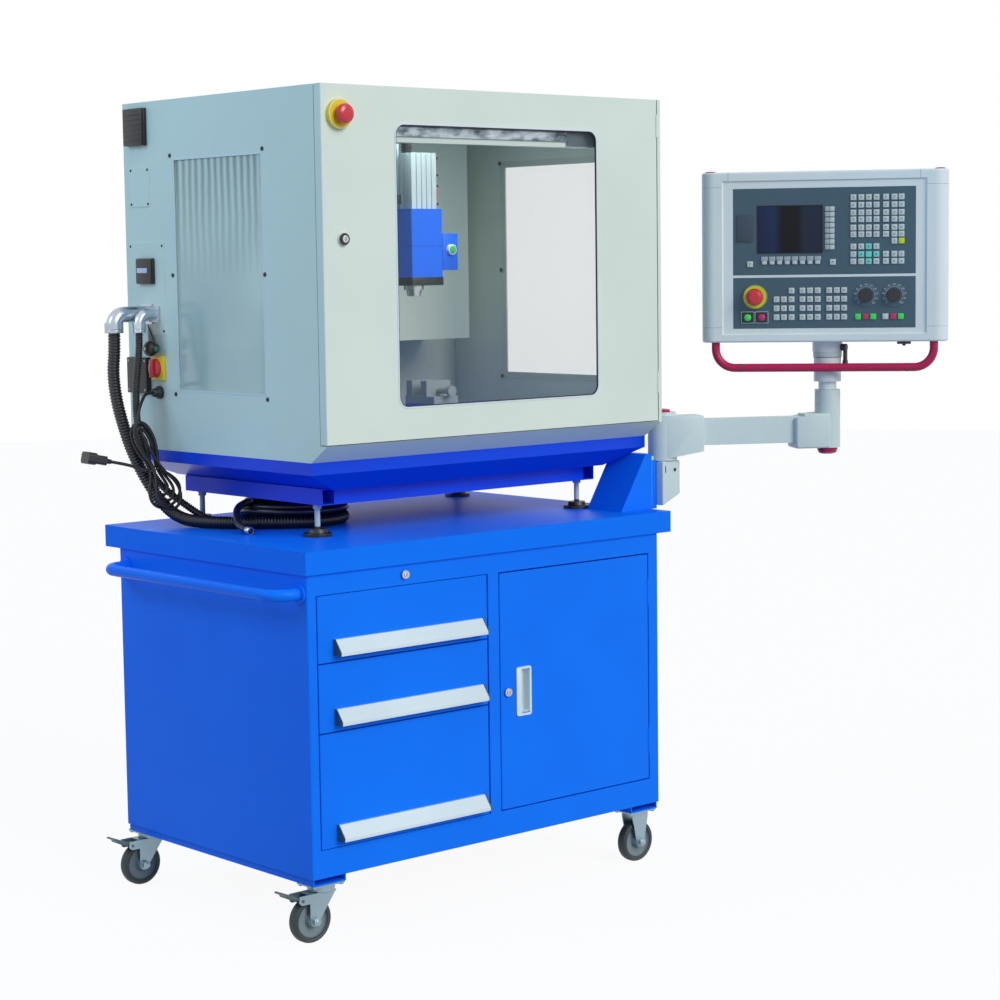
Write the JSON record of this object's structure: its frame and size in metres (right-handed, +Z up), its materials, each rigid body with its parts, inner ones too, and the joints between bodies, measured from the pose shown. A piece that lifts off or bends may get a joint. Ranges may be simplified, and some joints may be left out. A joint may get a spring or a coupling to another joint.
{
  "type": "mini cnc milling machine on a tool cabinet",
  "caption": "Small enclosed milling machine with a glazed hinged door, on a wheeled tool cabinet, with a control panel on a swinging arm.",
  "frame": {"origin": "on the floor, under the middle of the worktop", "axes": "+Z up, +X to the right seen from the front, +Y from the front to the back"},
  "size_m": [1.7603, 1.1472, 1.7528],
  "materials": {
    "cabinet_paint": "smooth powder coat",
    "front_paint": "smooth powder coat",
    "handle_paint": "gloss powder coat",
    "galvanised": "zinc plated",
    "tread": "grey rubber tread",
    "black_plastic": "satin moulded",
    "frame_paint": "smooth powder coat",
    "enclosure_paint": "smooth powder coat",
    "clear_pane": "clear",
    "yellow_plastic": "moulded",
    "red_plastic": "moulded",
    "green_plastic": "moulded",
    "machine_iron": "painted casting",
    "head_paint": "gloss paint",
    "aluminium": "satin anodised",
    "tool_steel": "ground",
    "plate_paint": "matt slate",
    "grip_paint": "gloss raspberry red"
  },
  "bodies": {
    "stand": {"cabinet_body": "cabinet_paint", "worktop_slab": "cabinet_paint", "push_handle": "handle_paint", "caster_plates": "galvanised", "levelling_feet": "black_plastic", "base_frame": "handle_paint", "drip_tray": "handle_paint", "enclosure_shell": "enclosure_paint", "side_window_panes": "clear_pane", "side_cover_plates": "enclosure_paint", "side_boxes": "black_plastic", "conduit_fittings": "tool_steel", "main_switch_plate": "yellow_plastic", "arm_pedestal": "cabinet_paint", "wall_bracket": "frame_paint", "machine_bed": "machine_iron", "machine_column": "machine_iron", "control_box": "enclosure_paint", "mains_cord": "black_plastic", "mains_hank": "black_plastic", "mains_plug": "black_plastic", "large_hose": "black_plastic", "small_hose": "black_plastic", "hose_coil": "black_plastic", "hose_tail": "black_plastic"},
    "drawer_top": {"drawer_top": "front_paint", "drawer_pull_top": "aluminium"},
    "drawer_middle": {"drawer_middle": "front_paint", "drawer_pull_middle": "aluminium"},
    "drawer_bottom": {"drawer_bottom": "front_paint", "drawer_pull_bottom": "aluminium"},
    "cupboard_door": {"cupboard_door": "cabinet_paint"},
    "enclosure_door": {"enclosure_door": "enclosure_paint", "door_pane": "clear_pane"},
    "panel": {"panel_body": "frame_paint", "screen_plate": "plate_paint", "key_plate": "plate_paint", "panel_handle": "grip_paint"},
    "spindle_head": {"spindle_head": "head_paint", "spindle_motor": "aluminium"},
    "door_estop_head": {"door_estop_head": "red_plastic"},
    "main_switch_knob": {"main_switch_knob": "red_plastic"},
    "caster_fork_front": {"caster_fork_front": "galvanised"},
    "caster_fork_rear": {"caster_fork_rear": "galvanised"},
    "brake_pedal_front": {"brake_pedal_front": "galvanised"},
    "brake_pedal_rear": {"brake_pedal_rear": "galvanised"},
    "swivel_wheel_front": {"swivel_wheel_front": "tread"},
    "swivel_wheel_rear": {"swivel_wheel_rear": "tread"},
    "fixed_wheel_front": {"fixed_wheel_front": "tread"},
    "fixed_wheel_rear": {"fixed_wheel_rear": "tread"},
    "arm_link": {"arm_link": "frame_paint"},
    "clamp_lever": {"clamp_lever": "black_plastic"},
    "panel_estop_head": {"panel_estop_head": "red_plastic"},
    "start_button": {"start_button": "green_plastic"},
    "stop_button": {"stop_button": "red_plastic"},
    "feed_knob": {"feed_knob": "black_plastic"},
    "speed_knob": {"speed_knob": "black_plastic"},
    "saddle": {"saddle": "machine_iron"},
    "table": {"table": "handle_paint"},
    "spindle": {"spindle": "tool_steel"}
  },
  "joints": [
    {"name": "drawer_top_slide", "type": "slide", "parent": "stand", "child": "drawer_top", "axis": [0, -1, 0], "range_m": [0, 0.5]},
    {"name": "drawer_middle_slide", "type": "slide", "parent": "stand", "child": "drawer_middle", "axis": [0, -1, 0], "range_m": [0, 0.5]},
    {"name": "drawer_bottom_slide", "type": "slide", "parent": "stand", "child": "drawer_bottom", "axis": [0, -1, 0], "range_m": [0, 0.5]},
    {"name": "cupboard_hinge", "type": "hinge", "parent": "stand", "child": "cupboard_door", "pos_m": [0.4545, -0.367, 0.46], "axis": [0, 0, 1], "range_deg": [0, 110]},
    {"name": "enclosure_hinge", "type": "hinge", "parent": "stand", "child": "enclosure_door", "pos_m": [0.52, -0.34, 1.386], "axis": [0, 0, 1], "range_deg": [0, 105]},
    {"name": "door_stop_press", "type": "slide", "parent": "enclosure_door", "child": "door_estop_head", "axis": [0, 1, 0], "range_m": [0, 0.005]},
    {"name": "main_switch_turn", "type": "hinge", "parent": "stand", "child": "main_switch_knob", "pos_m": [-0.452, 0.2665, 1.166], "axis": [-1, 0, 0], "range_deg": [0, 90]},
    {"name": "swivel_front", "type": "hinge", "parent": "stand", "child": "caster_fork_front", "pos_m": [-0.4705, -0.3315, 0.112], "axis": [0, 0, 1], "continuous": true},
    {"name": "brake_front", "type": "hinge", "parent": "caster_fork_front", "child": "brake_pedal_front", "pos_m": [-0.5305, -0.3315, 0.095], "axis": [0, -1, 0], "range_deg": [0, 12]},
    {"name": "roll_swivel_front", "type": "hinge", "parent": "caster_fork_front", "child": "swivel_wheel_front", "pos_m": [-0.5005, -0.3315, 0.048], "axis": [0, 1, 0], "continuous": true},
    {"name": "roll_fixed_front", "type": "hinge", "parent": "stand", "child": "fixed_wheel_front", "pos_m": [0.4425, -0.3315, 0.048], "axis": [0, 1, 0], "continuous": true},
    {"name": "swivel_rear", "type": "hinge", "parent": "stand", "child": "caster_fork_rear", "pos_m": [-0.4705, 0.305, 0.112], "axis": [0, 0, 1], "continuous": true},
    {"name": "brake_rear", "type": "hinge", "parent": "caster_fork_rear", "child": "brake_pedal_rear", "pos_m": [-0.5305, 0.305, 0.095], "axis": [0, -1, 0], "range_deg": [0, 12]},
    {"name": "roll_swivel_rear", "type": "hinge", "parent": "caster_fork_rear", "child": "swivel_wheel_rear", "pos_m": [-0.5005, 0.305, 0.048], "axis": [0, 1, 0], "continuous": true},
    {"name": "roll_fixed_rear", "type": "hinge", "parent": "stand", "child": "fixed_wheel_rear", "pos_m": [0.4425, 0.305, 0.048], "axis": [0, 1, 0], "continuous": true},
    {"name": "arm_swing", "type": "hinge", "parent": "stand", "child": "arm_link", "pos_m": [0.57, -0.304, 0.975], "axis": [0, 0, 1], "range_deg": [-65, 60]},
    {"name": "panel_swivel", "type": "hinge", "parent": "arm_link", "child": "panel", "pos_m": [0.91458, -0.51104, 1.04], "axis": [0, 0, 1], "range_deg": [-90, 90]},
    {"name": "clamp_turn", "type": "hinge", "parent": "panel", "child": "clamp_lever", "pos_m": [0.92756, -0.55099, 1.181], "axis": [0.309, -0.9511, 0], "range_deg": [-25, 25]},
    {"name": "panel_stop_press", "type": "slide", "parent": "panel", "child": "panel_estop_head", "axis": [0.788, 0.6157, 0], "range_m": [0, 0.005]},
    {"name": "start_press", "type": "slide", "parent": "panel", "child": "start_button", "axis": [0.788, 0.6157, 0], "range_m": [0, 0.004], "stiffness_N_per_m": 400},
    {"name": "stop_press", "type": "slide", "parent": "panel", "child": "stop_button", "axis": [0.788, 0.6157, 0], "range_m": [0, 0.004], "stiffness_N_per_m": 400},
    {"name": "feed_knob_turn", "type": "hinge", "parent": "panel", "child": "feed_knob", "pos_m": [0.92175, -0.62092, 1.3025], "axis": [-0.788, -0.6157, 0], "range_deg": [-135, 135]},
    {"name": "speed_knob_turn", "type": "hinge", "parent": "panel", "child": "speed_knob", "pos_m": [0.96115, -0.67136, 1.3025], "axis": [-0.788, -0.6157, 0], "range_deg": [-135, 135]},
    {"name": "saddle_slide", "type": "slide", "parent": "stand", "child": "saddle", "axis": [0, 1, 0], "range_m": [-0.06, 0.06]},
    {"name": "table_slide", "type": "slide", "parent": "saddle", "child": "table", "axis": [1, 0, 0], "range_m": [-0.1, 0.1]},
    {"name": "head_slide", "type": "slide", "parent": "stand", "child": "spindle_head", "axis": [0, 0, 1], "range_m": [-0.17, 0.05]},
    {"name": "spindle_turn", "type": "hinge", "parent": "spindle_head", "child": "spindle", "pos_m": [0.0465, -0.04, 1.34], "axis": [0, 0, -1], "continuous": true}
  ]
}
